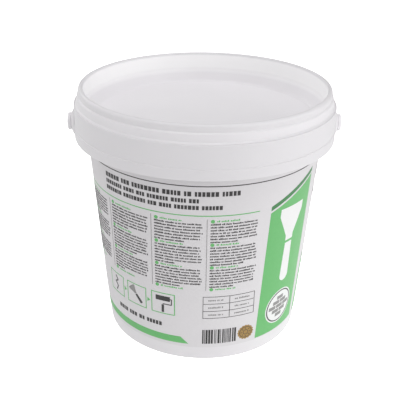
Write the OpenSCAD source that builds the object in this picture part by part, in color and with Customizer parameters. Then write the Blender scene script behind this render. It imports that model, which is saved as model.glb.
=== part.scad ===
// Tub of wall filler: a tapered plastic pail with a guarded rim and two handle studs,
// a push-on lid, a wrap-around label and the paste inside.
// Millimetres, +Z up, origin at the middle of the foot, on the surface that the tub stands on.

/* [Tub] */
// Outside diameter of the wall at the foot
foot_d = 104.2; // [98:0.2:110]
// Outside diameter of the wall level with the collar's lower edge
wall_top_d = 120.4; // [117:0.2:122]
// Thickness of the side wall
wall_t = 1.0; // [0.8:0.1:1.4]
// Thickness of the floor
floor_t = 1.3; // [1:0.1:2]
// Height of the floor's underside above the table
foot_h = 2.4; // [1.6:0.1:4]
// Width of the ring that the tub stands on
foot_w = 2.6; // [2:0.1:3.4]
// Radius of the outer corner at the foot
foot_round = 0.4; // [0.3:0.1:1.6]
// Radius of the inside corner between the floor and the wall
floor_round = 3.0; // [1:0.5:5]

/* [Collar] */
// Outside diameter of the collar over its hem
collar_d = 133.6; // [132.6:0.2:138]
// Height of the collar's lower edge above the table
collar_z = 107.0; // [80:0.2:150]
// Height of the collar
collar_h = 16.7; // [14:0.1:20]
// Thickness of the collar
collar_t = 0.9; // [0.8:0.1:1.1]
// Height of the thicker hem along the collar's lower edge
hem_h = 5.4; // [4.2:0.1:6]
// How far the hem stands out from the collar
hem_step = 0.3; // [0.2:0.05:0.5]
// Thickness of the web that ties the collar to the rim
web_t = 1.2; // [1:0.1:1.6]
// Height of the sloped shoulder under the rim
shoulder_h = 2.6; // [2:0.1:3.4]
// Number of stiffening ribs under the web
rib_count = 24; // [12:2:36]
// Thickness of a stiffening rib
rib_t = 0.9; // [0.7:0.1:1.2]
// How far a stiffening rib stops above the collar's lower edge
rib_inset = 0.8; // [0.4:0.1:1.4]

/* [Rim] */
// Thickness of the rim
rim_t = 1.0; // [0.9:0.1:1.2]
// Height of the rim above the collar's upper edge
rim_rise = 1.8; // [1:0.1:2]
// How far the rim's snap bead stands out
rim_bead = 0.3; // [0.2:0.05:0.35]
// Height of each snap bead
bead_h = 1.4; // [1:0.1:1.8]
// Depth of the rim's snap bead below the collar's upper edge
bead_drop = 1.2; // [1:0.1:1.6]

/* [Lid] */
// Thickness of the lid
lid_t = 0.95; // [0.8:0.05:1.05]
// How far the lid's upright top edge lies inside its skirt
lid_lean = 1.4; // [1.1:0.1:1.8]
// Height of the lid's top edge above the collar's upper edge
lid_rise = 8.4; // [7.6:0.2:12]
// Height of the upright band along the lid's top edge
lid_band_h = 3.5; // [2:0.1:4]
// How far the shoulder below the upright band steps out
lid_ledge = 0.7; // [0.4:0.1:0.8]
// Depth of the lid's panel below its top edge
recess_h = 16.2; // [13:0.2:18]
// Depth of the recess's upright wall
recess_wall_h = 9.6; // [7:0.2:11]
// How far the recess's sloped foot runs inwards
recess_run = 3.6; // [2:0.2:6]
// Radius of the lid's top corners
lid_round = 0.8; // [0.4:0.1:1.1]
// Radius of the recess's inside corners
recess_round = 2.4; // [1:0.2:3]

/* [Handle studs] */
// Depth of a stud's axis below the hem's upper edge
stud_drop = 1.0; // [0.6:0.1:2]
// Diameter of a stud's head
stud_head_d = 8.8; // [8.6:0.2:10]
// Diameter of a stud's neck
stud_neck_d = 8.0; // [6:0.2:8.2]
// Thickness of a stud's head
stud_head_t = 1.6; // [1:0.1:2.4]
// Length of a stud's neck
stud_neck_l = 0.6; // [0.4:0.1:4]
// Width of the bevel on a stud's head
stud_bevel = 0.4; // [0.2:0.1:0.6]
// Diameter of the tapered pad behind a stud, level with the collar
pad_d = 16.4; // [13:0.2:18]
// Diameter of the pad's face
pad_face_d = 10.6; // [8.8:0.2:12]
// How far the pad stands out from the collar
pad_h = 1.7; // [1:0.1:2.4]

/* [Label] */
// Thickness of the label
label_t = 0.14; // [0.1:0.02:0.3]
// Height of the label's lower edge above the table
label_z = 7.6; // [4:0.2:20]
// Gap between the label's upper edge and the collar's lower edge
label_top_gap = 2.0; // [1:0.2:10]
// Width of the gap at the label's seam
label_seam = 1.6; // [0.6:0.2:4]

/* [Paste] */
// Depth of the paste's surface below the shoulder
fill_drop = 0.4; // [0:0.2:30]
// Height of the rings that filling leaves in the paste's surface
ripple_h = 0.8; // [0.2:0.1:1.5]
// Number of those rings
ripple_count = 4; // [2:1:7]
// Height of the peak in the middle of the paste
peak_h = 1.2; // [0:0.1:2]

/* [Clearances] */
// Gap between the lid's skirt and the collar round it
skirt_gap = 0.3; // [0.2:0.05:0.4]
// Room for the snap beads between the lid's skirt and the rim
bead_room = 0.6; // [0.55:0.05:0.8]
// Gap between the two snap beads as they pass each other
bead_gap = 0.1; // [0.05:0.05:0.15]
// Gap between the lid's plug and the rim round it
plug_gap = 0.3; // [0.2:0.05:0.5]
// Gap between the lid's skirt and the web under it
seat_gap = 0.1; // [0.05:0.05:0.3]
// Thickness of the glue behind the label
label_glue = 0.02; // [0.01:0.01:0.05]
// Gap between the paste and the tub
fill_gap = 0.15; // [0.1:0.05:0.3]

/* [Hidden] */
$fn = 180;

// Radius of moulded edges, the hem's outer edge, corners in the channel and the shoulder's bends
edge_round = 0.4;
hem_round = 0.2;
web_round = 0.5;
shoulder_round = 1.0;
// Points on each rounded corner and on the paste's surface
arc_steps = 5;
fill_steps = 64;
// Largest part of an edge that one rounded corner may use up
corner_share = 0.48;
// Part of a wall's thickness that a rib or a pad reaches into
root_share = 0.5;
// How far a cut runs past what it cuts
overrun = 1;

// Collar, channel and rim, worked out from the outside inwards
hem_r = collar_d / 2;
collar_r = hem_r - hem_step;
collar_in_r = collar_r - collar_t;
skirt_r = collar_in_r - skirt_gap;
skirt_in_r = skirt_r - lid_t;
rim_r = skirt_in_r - bead_room;
rim_in_r = rim_r - rim_t;
plug_r = rim_in_r - plug_gap;
plug_in_r = plug_r - lid_t;

// Heights of the collar, the web in it and the rim
collar_top = collar_z + collar_h;
hem_top = collar_z + hem_h;
web_top = hem_top;
web_z = web_top - web_t;
rim_top = collar_top + rim_rise;
bead_z = collar_top - bead_drop;

// Side wall, floor and shoulder
foot_r = foot_d / 2;
floor_z = foot_h + floor_t;
wall_slope = (wall_top_d - foot_d) / 2 / collar_z;
shoulder_z = web_z - shoulder_h;
shoulder_turn = tan(atan2(rim_r - wall_r(shoulder_z), shoulder_h) / 2);

// Lid
lid_top = collar_top + lid_rise;
lid_top_r = skirt_r - lid_lean;
lid_crown = lid_top - lid_t;
band_z = lid_top - lid_band_h;
panel_z = lid_top - recess_h;
panel_r = plug_in_r - recess_run;
cone_z = lid_top - recess_wall_h;
cone_a = atan2(recess_run, cone_z - panel_z);
seat_z = web_top + seat_gap;
lid_bead_r = rim_r + rim_bead + bead_gap;
lid_bead_z = bead_z - bead_h;

// Handle studs, backed by the web
stud_z = hem_top - stud_drop;
pad_root_x = collar_r - collar_t * root_share;
pad_x = collar_r + pad_h;
stud_neck_x = pad_x + stud_neck_l;
stud_x = stud_neck_x + stud_head_t;

// Label and paste
label_top = collar_z - label_top_gap;
fill_z = shoulder_z - fill_drop;
fill_floor_z = floor_z + fill_gap;
fill_r = paste_r(fill_z);

// Outside radius of the side wall at height z
function wall_r(z) = foot_r + wall_slope * z;

// Inside radius of the side wall at height z
function bore_r(z) = wall_r(z) - wall_t;

// Radius of the paste at height z
function paste_r(z) = bore_r(z) - fill_gap;

// Height of the paste's surface at a share s of its radius
function surface_z(s) = fill_z + ripple_h / 2 * (cos(360 * ripple_count * s) - 1) * s
    + peak_h * pow(max(0, 1 - s * ripple_count), 2);

function unit(v) = v / norm(v);

// Corner p of an outline, rounded to radius r between its neighbours a and b
function corner(a, p, b, r) =
    r == 0 ? [p] :
    let (
        u = unit(a - p),
        v = unit(b - p),
        half = acos(u * v) / 2,
        reach = min(r / tan(half), corner_share * min(norm(a - p), norm(b - p))),
        middle = p + unit(u + v) * reach / cos(half),
        from = p + u * reach - middle,
        to = p + v * reach - middle,
        start = atan2(from[1], from[0]),
        turn = atan2(from[0] * to[1] - from[1] * to[0], from * to)
    )
    [for (i = [0 : arc_steps])
        let (a = start + turn * i / arc_steps)
        middle + norm(from) * [cos(a), sin(a)]];

// Outline of [radius, height, corner radius] points with its corners rounded
function rounded(path) =
    let (count = len(path), flat = [for (p = path) [p[0], p[1]]])
    [for (i = [0 : count - 1])
        each corner(flat[(i + count - 1) % count], flat[i], flat[(i + 1) % count], path[i][2])];

// Section of the tub from the axis outwards, round the collar and down the inside
tub_section = rounded([
    [0, foot_h, 0],
    [foot_r - foot_w, foot_h, web_round],
    [foot_r - foot_w, 0, edge_round],
    [foot_r, 0, foot_round],
    [wall_r(shoulder_z), shoulder_z, shoulder_round],
    [rim_r, web_z, web_round],
    [collar_in_r, web_z, web_round],
    [collar_in_r, collar_z, edge_round],
    [hem_r, collar_z, hem_round],
    [hem_r, hem_top - hem_step, 0],
    [collar_r, hem_top, 0],
    [collar_r, collar_top, edge_round],
    [collar_in_r, collar_top, edge_round],
    [collar_in_r, web_top, web_round],
    [rim_r, web_top, web_round],
    [rim_r, bead_z - bead_h / 2, 0],
    [rim_r + rim_bead, bead_z, edge_round],
    [rim_r, bead_z + bead_h / 2, 0],
    [rim_r, rim_top, edge_round],
    [rim_in_r, rim_top, edge_round],
    [rim_in_r, web_z + rim_t * shoulder_turn, shoulder_round],
    [bore_r(shoulder_z), shoulder_z + wall_t * shoulder_turn, shoulder_round],
    [bore_r(floor_z), floor_z, floor_round],
    [0, floor_z, 0]
]);

// Section of the lid from under its panel, round the skirt and down into the recess
lid_section = rounded([
    [0, panel_z - lid_t, 0],
    [panel_r + lid_t * tan((90 - cone_a) / 2), panel_z - lid_t, recess_round + lid_t],
    [plug_r, cone_z - lid_t * tan(cone_a / 2), recess_round],
    [plug_r, lid_crown, edge_round],
    [lid_top_r - lid_t, lid_crown, edge_round],
    [lid_top_r - lid_t, band_z - lid_t * root_share, edge_round],
    [lid_top_r - lid_t + lid_ledge, band_z - lid_ledge - lid_t * root_share, edge_round],
    [skirt_in_r, bead_z + bead_h / 2, 0],
    [skirt_in_r, lid_bead_z + bead_h / 2, 0],
    [lid_bead_r, lid_bead_z, 0],
    [skirt_in_r, lid_bead_z - bead_h / 2, 0],
    [skirt_in_r, seat_z, edge_round],
    [skirt_r, seat_z, edge_round],
    [skirt_r, bead_z + bead_h / 2, 0],
    [lid_top_r + lid_ledge, band_z - lid_ledge, edge_round],
    [lid_top_r, band_z, edge_round],
    [lid_top_r, lid_top, lid_round],
    [plug_in_r, lid_top, lid_round],
    [plug_in_r, cone_z, recess_round],
    [panel_r, panel_z, recess_round],
    [0, panel_z, 0]
]);

// Outline of a rib, sunk into the wall, the web and the hem that it joins
rib_outline = [
    [wall_r(collar_z + rib_inset) - wall_t * root_share, collar_z + rib_inset],
    [collar_in_r + collar_t * root_share, collar_z + rib_inset],
    [collar_in_r + collar_t * root_share, web_z + web_t * root_share],
    [rim_r - rim_t * root_share, web_z + web_t * root_share],
    [wall_r(shoulder_z) - wall_t * root_share, shoulder_z + wall_t * root_share * shoulder_turn]
];

// Section of the paste: the tub's inside with rings and a peak on top
paste_section = concat(
    rounded([
        [0, fill_floor_z, 0],
        [paste_r(fill_floor_z), fill_floor_z, floor_round],
        [fill_r, surface_z(1), 0]
    ]),
    [for (i = [fill_steps - 1 : -1 : 0]) [fill_r * i / fill_steps, surface_z(i / fill_steps)]]
);

module rib() {
    rotate([90, 0, 0])
        linear_extrude(height = rib_t, center = true)
            polygon(rib_outline);
}

// Handle stud and its pad, pointing along +X
module stud() {
    translate([0, 0, stud_z])
        rotate([0, 90, 0]) {
            translate([0, 0, pad_root_x])
                cylinder(d = pad_d, h = collar_r - pad_root_x);
            translate([0, 0, collar_r])
                cylinder(d1 = pad_d, d2 = pad_face_d, h = pad_h);
            translate([0, 0, pad_x])
                cylinder(d = stud_neck_d, h = stud_neck_l);
            translate([0, 0, stud_neck_x])
                cylinder(d = stud_head_d, h = stud_head_t - stud_bevel);
            translate([0, 0, stud_x - stud_bevel])
                cylinder(d1 = stud_head_d, d2 = stud_head_d - 2 * stud_bevel, h = stud_bevel);
        }
}

module tub() {
    color("white") {
        rotate_extrude()
            polygon(tub_section);
        for (i = [0 : rib_count - 1])
            rotate([0, 0, 360 * i / rib_count])
                rib();
        for (side = [0, 1])
            rotate([0, 0, 180 * side])
                stud();
    }
}

module lid() {
    color("white")
        rotate_extrude()
            polygon(lid_section);
}

module label() {
    inner = label_glue;
    outer = label_glue + label_t;
    color("mediumseagreen")
        difference() {
            rotate_extrude()
                polygon([
                    [wall_r(label_z) + inner, label_z],
                    [wall_r(label_z) + outer, label_z],
                    [wall_r(label_top) + outer, label_top],
                    [wall_r(label_top) + inner, label_top]
                ]);
            translate([-label_seam / 2, 0, label_z - overrun])
                cube([label_seam, wall_r(label_top) + overrun, label_top - label_z + 2 * overrun]);
        }
}

module paste() {
    color("ivory")
        rotate_extrude()
            polygon(paste_section);
}

tub();
lid();
label();
paste();
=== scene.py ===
"""Looks of a one-litre tub of wall filler: moulded tub and lid, printed film and the paste inside."""

import logging
import math
import random
from dataclasses import dataclass, field
from enum import Enum

import bmesh
import bpy
from mathutils import Matrix, Quaternion, Vector, noise


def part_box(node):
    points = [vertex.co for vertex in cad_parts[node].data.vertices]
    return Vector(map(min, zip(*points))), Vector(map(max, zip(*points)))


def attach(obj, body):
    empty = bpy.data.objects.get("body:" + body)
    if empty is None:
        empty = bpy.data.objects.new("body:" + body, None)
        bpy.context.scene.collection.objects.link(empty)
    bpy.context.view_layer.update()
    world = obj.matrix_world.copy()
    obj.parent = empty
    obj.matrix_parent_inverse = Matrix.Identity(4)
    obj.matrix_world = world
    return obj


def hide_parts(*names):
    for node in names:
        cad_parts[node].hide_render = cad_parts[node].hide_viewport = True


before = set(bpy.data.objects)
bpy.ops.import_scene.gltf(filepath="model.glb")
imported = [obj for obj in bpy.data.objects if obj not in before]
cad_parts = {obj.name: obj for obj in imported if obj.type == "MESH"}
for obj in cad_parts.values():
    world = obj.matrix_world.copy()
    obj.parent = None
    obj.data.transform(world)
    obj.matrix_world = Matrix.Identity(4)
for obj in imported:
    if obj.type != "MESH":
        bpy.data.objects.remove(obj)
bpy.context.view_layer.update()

log = logging.getLogger("filler_tub")

# A millimetre, and the gap that counts as none, both in metres
MM = 0.001
MERGE_GAP = 1e-6
# Steps in a full turn, the angle past which an edge stays sharp, and how much face area counts in shading
TURN_STEPS = 256
SHARP_ANGLE = math.radians(32)
AREA_WEIGHT = 100

Colour = tuple[float, float, float]
Point = tuple[float, float]
Mesh = bmesh.types.BMesh


class Body(Enum):
    """Bodies of the frame that the pieces ride on."""

    TUB = "tub"
    LID = "lid"


class Slot(Enum):
    """Material slots of the record."""

    TUB = "tub_plastic"
    LID = "lid_plastic"
    FILM = "label_film"
    PASTE = "filler_paste"


class Sock:
    """An output socket that takes part in Python arithmetic by adding Math nodes."""

    def __init__(self, graph: "Graph", socket: bpy.types.NodeSocket) -> None:
        """Keeps the socket and the graph that it belongs to."""
        self.graph = graph
        self.socket = socket

    def _math(self, operation: str, first: object, second: object) -> "Sock":
        """Adds one Math node."""
        return self.graph.node("ShaderNodeMath", {"operation": operation}, {0: first, 1: second})

    def __add__(self, other: object) -> "Sock":
        """Sum."""
        return self._math("ADD", self, other)

    __radd__ = __add__

    def __sub__(self, other: object) -> "Sock":
        """Difference."""
        return self._math("SUBTRACT", self, other)

    def __rsub__(self, other: object) -> "Sock":
        """Difference with the socket last."""
        return self._math("SUBTRACT", other, self)

    def __mul__(self, other: object) -> "Sock":
        """Product."""
        return self._math("MULTIPLY", self, other)

    __rmul__ = __mul__


class Graph:
    """The node tree of one material."""

    def __init__(self, name: str) -> None:
        """Makes an empty material of that name.

        Args:
            name: the material's name.
        """
        self.material = bpy.data.materials.new(name)
        self.material.use_nodes = True
        self.tree = self.material.node_tree
        self.tree.nodes.clear()

    def node(
        self,
        kind: str,
        settings: dict[str, object] | None = None,
        sockets: dict[str | int, object] | None = None,
        out: str | int = 0,
    ) -> Sock:
        """Adds a node.

        Args:
            kind: the node's type.
            settings: properties set before anything is linked.
            sockets: values or links of the inputs, by name or number.
            out: the output wanted, by name or number.

        Returns:
            That output.
        """
        made = self.tree.nodes.new(kind)
        for key, value in (settings or {}).items():
            setattr(made, key, value)
        for key, value in (sockets or {}).items():
            if isinstance(value, Sock):
                self.tree.links.new(value.socket, made.inputs[key])
            else:
                made.inputs[key].default_value = value
        return Sock(self, made.outputs[out] if made.outputs else None)

    def here(self) -> Sock:
        """Object coordinates, in metres."""
        return self.node("ShaderNodeTexCoord", out="Object")

    def along(self, axis: str) -> Sock:
        """Object coordinate along one axis, in metres."""
        return self.node("ShaderNodeSeparateXYZ", {}, {0: self.here()}, axis)

    def noise(self, size_mm: float, detail: float = 2.0) -> Sock:
        """Soft noise from 0 to 1 with features of about that size."""
        sockets = {"Vector": self.here(), "Scale": 1 / (size_mm * MM), "Detail": detail}
        return self.node("ShaderNodeTexNoise", {}, sockets)

    def ramp(self, value: Sock, low: float, high: float) -> Sock:
        """Rises from 0 at low to 1 at high, held outside them."""
        sockets = {"Value": value, "From Min": low, "From Max": high}
        return self.node("ShaderNodeMapRange", {"clamp": True}, sockets)

    def blend(self, share: Sock, first: Sock | Colour, second: Sock | Colour) -> Sock:
        """Colour between two colours."""
        ends = [end if isinstance(end, Sock) else (*end, 1.0) for end in (first, second)]
        return self.node("ShaderNodeMix", {"data_type": "RGBA"}, {0: share, 6: ends[0], 7: ends[1]}, 2)

    def bump(self, height: Sock, depth_mm: float) -> Sock:
        """Normal of a surface whose relief is that deep."""
        sockets = {"Strength": 1.0, "Distance": depth_mm * MM, "Height": height}
        return self.node("ShaderNodeBump", {}, sockets, "Normal")

    def surface(self, sockets: dict[str, object]) -> None:
        """Ends the tree in a Principled shader with these sockets."""
        shader = self.node("ShaderNodeBsdfPrincipled", {}, sockets)
        self.node("ShaderNodeOutputMaterial", {}, {"Surface": shader})


@dataclass(frozen=True)
class Finish:
    """A named finish that makes its material once."""

    name: str

    def material(self) -> bpy.types.Material:
        """The finish's material, made at the first call.

        Returns:
            The material.
        """
        made = bpy.data.materials.get(self.name)
        if made is None:
            graph = Graph(self.name)
            self.paint(graph)
            made = graph.material
        return made

    def paint(self, graph: Graph) -> None:
        """Builds the finish's nodes."""
        raise NotImplementedError


@dataclass(frozen=True)
class MouldedPlastic(Finish):
    """Satin white polypropylene with a fine mould grain and faint flow clouds."""

    tint: Colour
    cloud_tint: Colour
    roughness: float = 0.28
    roughness_spread: float = 0.12
    grain_mm: float = 0.5
    grain_detail: float = 3.0
    grain_depth_mm: float = 0.012
    cloud_mm: float = 24.0
    ior: float = 1.49
    glow_through: float = 0.1
    scatter_mm: float = 0.8
    scatter_shares: Colour = (1.0, 1.0, 1.0)

    def colour(self, graph: Graph) -> Sock:
        """The plastic's own colour."""
        return graph.blend(graph.noise(self.cloud_mm), self.tint, self.cloud_tint)

    def paint(self, graph: Graph) -> None:
        """Builds the finish's nodes.

        Args:
            graph: the node tree that it is built in.
        """
        cloud = graph.noise(self.cloud_mm)
        grain = graph.noise(self.grain_mm, self.grain_detail)
        graph.surface({
            "Base Color": self.colour(graph),
            "Roughness": self.roughness + cloud * self.roughness_spread,
            "Normal": graph.bump(grain, self.grain_depth_mm),
            "IOR": self.ior,
            "Subsurface Weight": self.glow_through,
            "Subsurface Radius": self.scatter_shares,
            "Subsurface Scale": self.scatter_mm * MM,
        })


@dataclass(frozen=True)
class StandingPlastic(MouldedPlastic):
    """Moulded plastic with a little dust where it stands and studs painted whiter, a painted light that
    stands in for light shining through them.
    """

    dust_tint: Colour = (0.62, 0.61, 0.59)
    dust_top_mm: float = 0.9
    # Painted light: the studs are painted whiter in place of light that shines through the thin plastic.
    stud_painted_light_tint: Colour = (0.825, 0.81, 0.83)
    stud_in_mm: float = 67.6
    stud_out_mm: float = 68.4

    def colour(self, graph: Graph) -> Sock:
        """The plastic's colour, with painted light that whitens the studs, and with dust on the foot.

        Args:
            graph: the node tree that it is built in.

        Returns:
            The colour.
        """
        reach = graph.node("ShaderNodeMath", {"operation": "ABSOLUTE"}, {0: graph.along("X")})
        # Painted light: a whiter colour over the studs in place of light shining through them.
        stud = graph.ramp(reach, self.stud_in_mm * MM, self.stud_out_mm * MM)
        clean_with_painted_stud_light = graph.blend(stud, super().colour(graph), self.stud_painted_light_tint)
        dusty = graph.ramp(graph.along("Z"), self.dust_top_mm * MM, 0.0) * graph.noise(self.grain_mm)
        return graph.blend(dusty, clean_with_painted_stud_light, self.dust_tint)


@dataclass(frozen=True)
class LidPlastic(MouldedPlastic):
    """Moulded plastic with painted light and shade.

    A painted shade darkens the top band, and painted light whitens the recessed panel and, most of all, the
    wall of the recess.
    """

    # Painted shade: the top band is painted darker than the rest of the lid.
    band_painted_shade_tint: Colour = (0.705, 0.69, 0.71)
    band_low_mm: float = 128.5
    band_high_mm: float = 128.9
    # Painted light: the recessed panel is painted whiter than the rest of the lid.
    panel_painted_light_tint: Colour = (0.81, 0.793, 0.816)
    panel_cloud_painted_light_tint: Colour = (0.785, 0.768, 0.791)
    # Painted light: the recess wall is painted whiter still, in place of light through the thin walls and
    # light bounced inside the recess.
    wall_painted_light_tint: Colour = (0.97, 0.965, 0.97)
    wall_low_mm: float = 120.5
    wall_high_mm: float = 124.0
    recess_fade_mm: float = 130.4
    recess_top_mm: float = 131.6
    recess_in_mm: float = 62.0
    recess_out_mm: float = 63.4

    def colour(self, graph: Graph) -> Sock:
        """The plastic's colour, with painted shade that darkens the top band and painted light that whitens
        the recess.

        Args:
            graph: the node tree that it is built in.

        Returns:
            The colour.
        """
        flat = graph.node("ShaderNodeVectorMath", {"operation": "MULTIPLY"}, {0: graph.here(), 1: (1, 1, 0)})
        radius = graph.node("ShaderNodeVectorMath", {"operation": "LENGTH"}, {0: flat}, "Value")
        height = graph.along("Z")
        inside = graph.ramp(radius, self.recess_out_mm * MM, self.recess_in_mm * MM)
        below = graph.ramp(height, self.recess_top_mm * MM, self.recess_fade_mm * MM)
        wall = graph.ramp(height, self.wall_low_mm * MM, self.wall_high_mm * MM)
        # Painted light over the recessed panel and its wall.
        panel = graph.blend(graph.noise(self.cloud_mm), self.panel_painted_light_tint, self.panel_cloud_painted_light_tint)
        recess = graph.blend(wall, panel, self.wall_painted_light_tint)
        # Painted shade over the top band.
        band = graph.ramp(height, self.band_low_mm * MM, self.band_high_mm * MM)
        shell = graph.blend(band, super().colour(graph), self.band_painted_shade_tint)
        return graph.blend(inside * below, shell, recess)


@dataclass(frozen=True)
class PrintedFilm(Finish):
    """Plastic film or the ink on it: a smooth satin skin with faint mottling."""

    tint: Colour = (0.648, 0.632, 0.648)
    mottle_tint: Colour = (0.623, 0.607, 0.623)
    roughness: float = 0.36
    metallic: float = 0.0
    roughness_spread: float = 0.08
    mottle_mm: float = 1.6
    ripple_mm: float = 9.0
    ripple_depth_mm: float = 0.02
    ior: float = 1.5

    def paint(self, graph: Graph) -> None:
        """Builds the finish's nodes.

        Args:
            graph: the node tree that it is built in.
        """
        mottle = graph.noise(self.mottle_mm)
        ripple = graph.noise(self.ripple_mm)
        graph.surface({
            "Base Color": graph.blend(mottle, self.tint, self.mottle_tint),
            "Roughness": self.roughness + mottle * self.roughness_spread,
            "Metallic": self.metallic,
            "Normal": graph.bump(ripple, self.ripple_depth_mm),
            "IOR": self.ior,
        })


@dataclass(frozen=True)
class LightPaste(Finish):
    """Matt, airy filler with small bubbles, their hollows painted darker as painted shade, and a fine drag
    texture.
    """

    tint: Colour = (0.84, 0.825, 0.79)
    # Painted shade: the bubbles' hollows are painted darker.
    bubble_painted_shade_tint: Colour = (0.72, 0.70, 0.66)
    roughness: float = 0.82
    roughness_spread: float = 0.1
    bubble_mm: float = 1.5
    bubble_share: float = 0.28
    bubble_depth_share: float = 0.5
    drag_mm: float = 4.0
    drag_detail: float = 5.0
    depth_mm: float = 0.18
    glow_through: float = 0.1
    scatter_mm: float = 0.8

    def paint(self, graph: Graph) -> None:
        """Builds the finish's nodes.

        Args:
            graph: the node tree that it is built in.
        """
        sockets = {"Vector": graph.here(), "Scale": 1 / (self.bubble_mm * MM)}
        bubble = graph.ramp(graph.node("ShaderNodeTexVoronoi", {}, sockets), 0.0, self.bubble_share)
        drag = graph.noise(self.drag_mm, self.drag_detail)
        graph.surface({
            # Painted shade in the bubbles' hollows.
            "Base Color": graph.blend(bubble, self.bubble_painted_shade_tint, self.tint),
            "Roughness": self.roughness + drag * self.roughness_spread,
            "Normal": graph.bump(bubble * self.bubble_depth_share + drag, self.depth_mm),
            "Subsurface Weight": self.glow_through,
            "Subsurface Scale": self.scatter_mm * MM,
        })


@dataclass(frozen=True)
class StudioFloor(Finish):
    """Plain pale floor that looks white, throws some light up and cannot be seen from below."""

    tint: Colour = (0.88, 0.88, 0.88)
    shown_glow: Colour = (0.75, 0.75, 0.75)
    thrown_glow: Colour = (0.438, 0.438, 0.438)
    glow_mm: tuple[float, float, float] = (110.0, -60.0, 0.0)
    near_mm: float = 70.0
    far_mm: float = 240.0
    roughness: float = 0.9
    specular: float = 0.1

    def paint(self, graph: Graph) -> None:
        """Builds the finish's nodes.

        Args:
            graph: the node tree that it is built in.
        """
        middle = [place * MM for place in self.glow_mm]
        sockets = {0: graph.here(), 1: middle}
        distance = graph.node("ShaderNodeVectorMath", {"operation": "DISTANCE"}, sockets, "Value")
        near = graph.ramp(distance, self.far_mm * MM, self.near_mm * MM)
        thrown = graph.blend(near, (0.0, 0.0, 0.0), self.thrown_glow)
        shown = graph.node("ShaderNodeLightPath", out="Is Camera Ray")
        graph.surface({
            "Base Color": (*self.tint, 1.0),
            "Roughness": self.roughness,
            "Specular IOR Level": self.specular,
            "Emission Color": graph.blend(shown, thrown, self.shown_glow),
            "Emission Strength": 1.0,
            "Alpha": 1.0 - graph.node("ShaderNodeNewGeometry", out="Backfacing"),
        })


@dataclass(frozen=True)
class NodeBox:
    """Reach of a CAD node, in millimetres."""

    low: Vector
    high: Vector

    @classmethod
    def of(cls, node: str) -> "NodeBox":
        """Measures a node of the frame."""
        low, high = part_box(node)
        return cls(low / MM, high / MM)


@dataclass
class Lathe:
    """Half section of a turned piece from axis to axis: (radius, height, corner radius) in millimetres."""

    points: list[tuple[float, float, float]]
    steps: int = TURN_STEPS
    corner_segments: int = 5

    def reach(self, index: int) -> float:
        """Length of edge that a rounded corner uses up on each side.

        Args:
            index: the corner's place in the list of points.

        Returns:
            The length, in millimetres.
        """
        here = Vector(self.points[index][:2])
        back = (Vector(self.points[index - 1][:2]) - here).normalized()
        on = (Vector(self.points[index + 1][:2]) - here).normalized()
        half = back.angle(on) / 2
        return self.points[index][2] / math.tan(half)

    def turn(self) -> Mesh:
        """Rounds the section's corners and spins it about the axis.

        Returns:
            The turned mesh, in metres, with its faces outwards.
        """
        mesh = bmesh.new()
        verts = [mesh.verts.new((r * MM, 0.0, z * MM)) for r, z, _ in self.points]
        for first, second in zip(verts, verts[1:]):
            mesh.edges.new((first, second))
        for index, (_, _, radius) in enumerate(self.points):
            if radius:
                bmesh.ops.bevel(
                    mesh, geom=[verts[index]], offset=self.reach(index) * MM, offset_type="OFFSET",
                    segments=self.corner_segments, profile=0.5, affect="VERTICES",
                    clamp_overlap=True, material=-1,
                )
        bmesh.ops.spin(
            mesh, geom=mesh.verts[:] + mesh.edges[:], cent=(0, 0, 0), axis=(0, 0, 1),
            angle=math.tau, steps=self.steps, use_merge=True,
        )
        bmesh.ops.remove_doubles(mesh, verts=mesh.verts, dist=MERGE_GAP)
        bmesh.ops.recalc_face_normals(mesh, faces=mesh.faces)
        return mesh


def join(target: Mesh, source: Mesh) -> None:
    """Adds one mesh to another and frees it.

    Args:
        target: the mesh that grows.
        source: the mesh that is added, which is freed.
    """
    data = bpy.data.meshes.new("joined")
    source.to_mesh(data)
    source.free()
    target.from_mesh(data)
    bpy.data.meshes.remove(data)


def make_piece(
    name: str, mesh: Mesh, finish: Finish, body: Body, replaces: str = ""
) -> bpy.types.Object:
    """Turns a mesh into a piece of the object.

    Args:
        name: the piece's name.
        mesh: its mesh in metres, in place, which is freed.
        finish: its finish.
        body: the body that it rides on.
        replaces: the CAD node that it stands for, if any.

    Returns:
        The piece.
    """
    data = bpy.data.meshes.new(name)
    mesh.to_mesh(data)
    mesh.free()
    data.shade_smooth()
    data.set_sharp_from_angle(angle=SHARP_ANGLE)
    data.materials.append(finish.material())
    piece = bpy.data.objects.new(name, data)
    bpy.context.scene.collection.objects.link(piece)
    even = piece.modifiers.new("even_shading", "WEIGHTED_NORMAL")
    even.mode = "FACE_AREA"
    even.weight = AREA_WEIGHT
    even.keep_sharp = True
    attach(piece, body.value)
    if replaces:
        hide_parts(replaces)
    log.info("%s: %d faces on %s", name, len(data.polygons), body.value)
    return piece


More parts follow.
